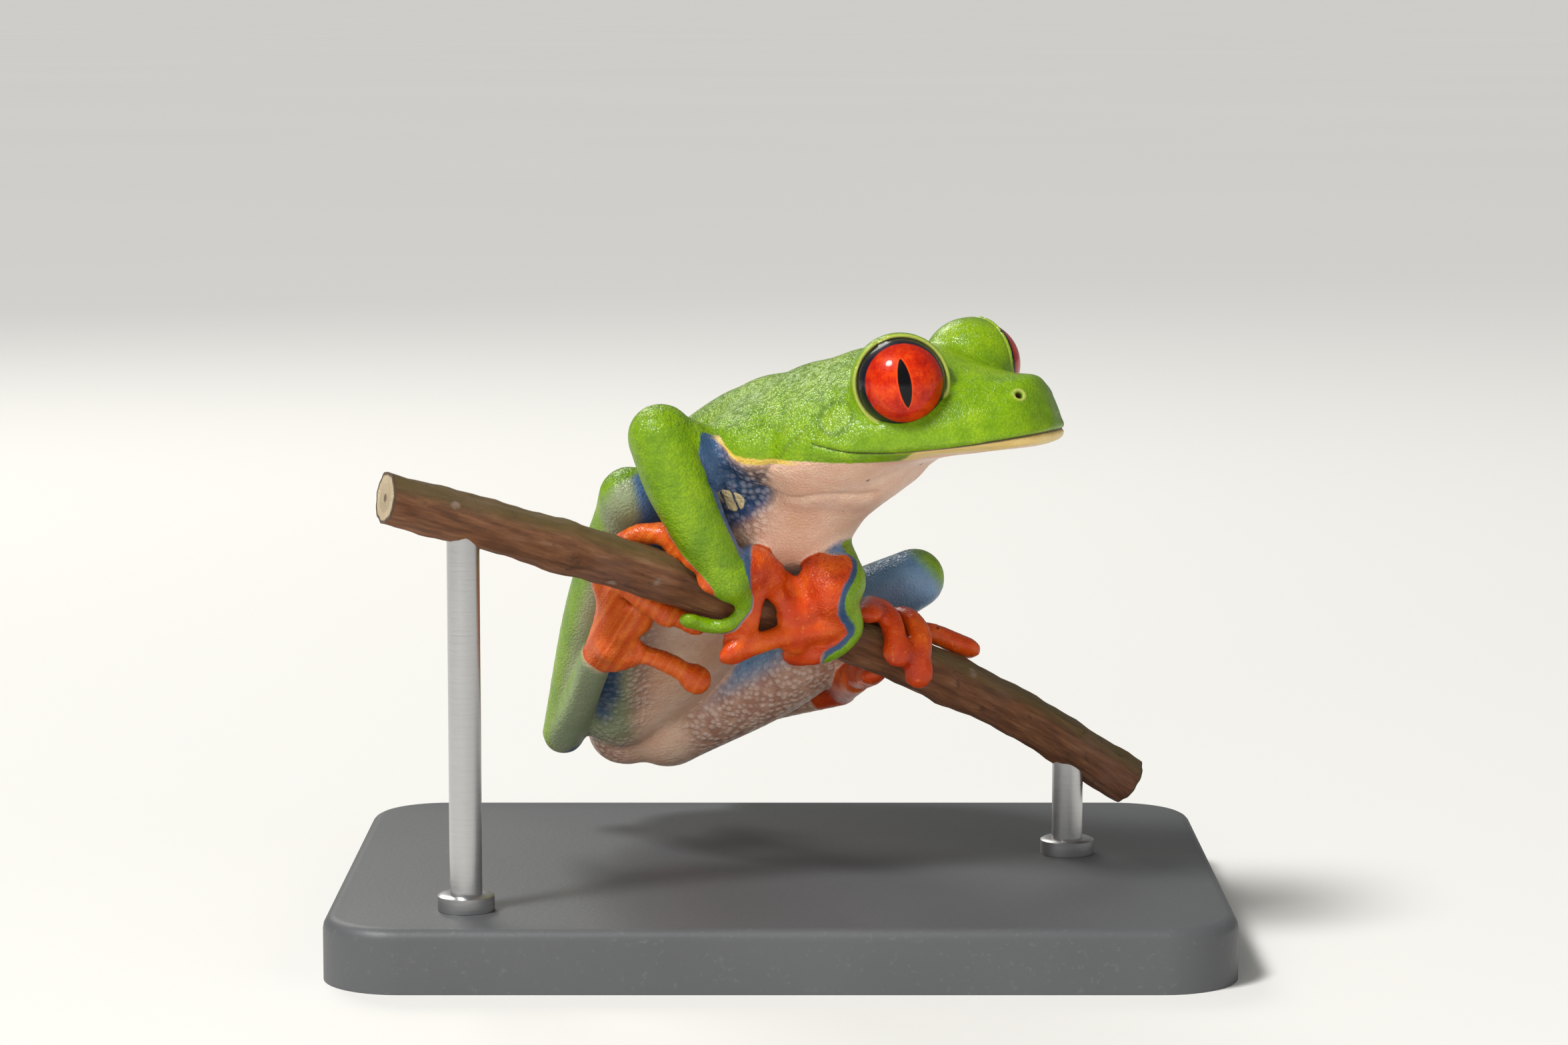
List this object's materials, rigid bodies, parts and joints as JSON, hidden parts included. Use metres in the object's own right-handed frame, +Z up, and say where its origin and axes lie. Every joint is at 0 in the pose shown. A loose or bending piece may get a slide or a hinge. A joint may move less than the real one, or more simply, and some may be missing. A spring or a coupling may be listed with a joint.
{
  "type": "tree frog model",
  "caption": "Life-size museum model of a red-eyed tree frog gripping a slanting stem with hands and feet, held over a flat base by thin rods.",
  "frame": {"origin": "middle of the stand base's underside", "axes": "+X along the stem and the base's long side, the way the frog's snout points; +Y towards the side its rump hangs on; +Z up"},
  "size_m": [0.056, 0.042, 0.0402],
  "materials": {
    "leaf_green_skin": "satin, wet-looking, finely pebbled",
    "flank_skin": "satin, blue and yellow bars on the flank over a peach and lilac granular belly",
    "orange_skin": "satin, wet-looking",
    "eye": "high gloss, red iris with an upright black slit",
    "stem_bark": "matte, ridged bark",
    "stand_base": "matte",
    "stand_rod": "brushed"
  },
  "bodies": {
    "root": {"head": "leaf_green_skin", "trunk": "flank_skin", "upper_arm_right": "flank_skin", "upper_arm_left": "flank_skin", "forearm_right": "leaf_green_skin", "forearm_left": "leaf_green_skin", "hand_right": "orange_skin", "hand_left": "orange_skin", "thigh_right": "flank_skin", "thigh_left": "flank_skin", "shank_right": "leaf_green_skin", "shank_left": "leaf_green_skin", "tarsus_right": "leaf_green_skin", "tarsus_left": "leaf_green_skin", "foot_right": "orange_skin", "foot_left": "orange_skin", "eye_right": "eye", "eye_left": "eye", "perch": "stem_bark", "stand_base": "stand_base", "stand_rod_left": "stand_rod", "stand_rod_right": "stand_rod"}
  },
  "joints": []
}
